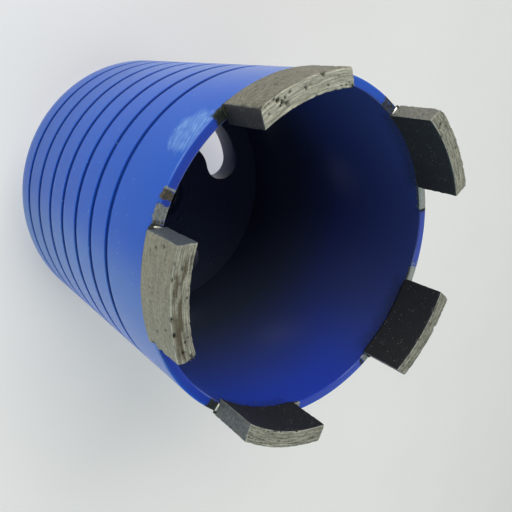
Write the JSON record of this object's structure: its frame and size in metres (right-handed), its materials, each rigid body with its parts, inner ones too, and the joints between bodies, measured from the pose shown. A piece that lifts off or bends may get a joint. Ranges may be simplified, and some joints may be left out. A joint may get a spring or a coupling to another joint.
{
  "type": "diamond core bit",
  "caption": "Open steel barrel with ring grooves and curved diamond segments on its rim, for cutting round holes dry in masonry; threaded hub at the back.",
  "frame": {"origin": "centre of the hub's flat end, on the barrel's axis, at the lowest point of the part", "axes": "+Z along the barrel's axis from the hub to the cutting end; +X through the middle of the first back-plate slot and of the first segment"},
  "size_m": [0.0814, 0.0815, 0.1015],
  "materials": {
    "blue_paint": "satin blue lacquer sprayed over turned steel",
    "sintered_segment": "sintered metal with diamond grit, dull, pitted and streaked by dressing",
    "silver_braze": "silver braze left as it set, with heat-browned steel beside it"
  },
  "bodies": {
    "root": {"barrel": "blue_paint", "back_plate": "blue_paint", "plate_weld": "blue_paint", "hub": "blue_paint", "hub_weld": "blue_paint", "segment_1": "sintered_segment", "segment_2": "sintered_segment", "segment_3": "sintered_segment", "segment_4": "sintered_segment", "segment_5": "sintered_segment", "braze_1": "silver_braze", "braze_2": "silver_braze", "braze_3": "silver_braze", "braze_4": "silver_braze", "braze_5": "silver_braze"}
  },
  "joints": []
}
